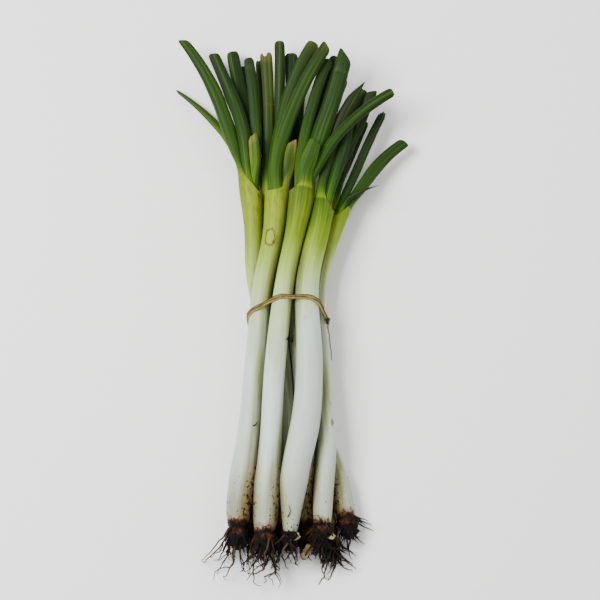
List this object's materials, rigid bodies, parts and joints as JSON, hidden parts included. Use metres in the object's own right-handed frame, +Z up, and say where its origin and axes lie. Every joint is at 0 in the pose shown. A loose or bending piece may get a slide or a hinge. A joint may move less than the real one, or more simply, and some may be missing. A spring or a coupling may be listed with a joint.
{
  "type": "spring onion bunch",
  "caption": "Bunch of long-white spring onions lying on its side: thick white shanks with root tufts, hollow green leaves cut square, tied at the waist with a rush strand",
  "frame": {"origin": "middle of the footprint, on the surface that the bunch lies on", "axes": "+Y runs along the bunch from the root tufts to the leaf tips; +Z is up, away from the surface; +X is across the bunch"},
  "size_m": [0.1692, 0.383, 0.0555],
  "materials": {
    "white_shank": "satin",
    "green_leaf": "satin",
    "root_fibre": "matte",
    "dry_rush": "matte"
  },
  "bodies": {
    "root": {"onion_1_leaf_1": "green_leaf", "onion_1_leaf_2": "green_leaf", "onion_1_leaf_3": "green_leaf", "onion_1_roots": "root_fibre", "onion_1_shank": "white_shank", "onion_2_leaf_1": "green_leaf", "onion_2_leaf_2": "green_leaf", "onion_2_leaf_3": "green_leaf", "onion_2_leaf_4": "green_leaf", "onion_2_roots": "root_fibre", "onion_2_shank": "white_shank", "onion_3_leaf_1": "green_leaf", "onion_3_leaf_2": "green_leaf", "onion_3_leaf_3": "green_leaf", "onion_3_roots": "root_fibre", "onion_3_shank": "white_shank", "onion_4_leaf_1": "green_leaf", "onion_4_leaf_2": "green_leaf", "onion_4_leaf_3": "green_leaf", "onion_4_roots": "root_fibre", "onion_4_shank": "white_shank", "onion_5_leaf_1": "green_leaf", "onion_5_leaf_2": "green_leaf", "onion_5_leaf_3": "green_leaf", "onion_5_leaf_4": "green_leaf", "onion_5_leaf_5": "green_leaf", "onion_5_leaf_6": "green_leaf", "onion_5_roots": "root_fibre", "onion_5_shank": "white_shank", "onion_6_leaf_1": "green_leaf", "onion_6_leaf_2": "green_leaf", "onion_6_leaf_3": "green_leaf", "onion_6_leaf_4": "green_leaf", "onion_6_roots": "root_fibre", "onion_6_shank": "white_shank", "onion_7_leaf_1": "green_leaf", "onion_7_leaf_2": "green_leaf", "onion_7_leaf_3": "green_leaf", "onion_7_roots": "root_fibre", "onion_7_shank": "white_shank", "onion_8_leaf_1": "green_leaf", "onion_8_leaf_2": "green_leaf", "onion_8_roots": "root_fibre", "onion_8_shank": "white_shank", "onion_9_leaf_1": "green_leaf", "onion_9_leaf_2": "green_leaf", "onion_9_roots": "root_fibre", "onion_9_shank": "white_shank", "tie_band": "dry_rush", "tie_knot": "dry_rush", "tie_tail": "dry_rush"}
  },
  "joints": []
}
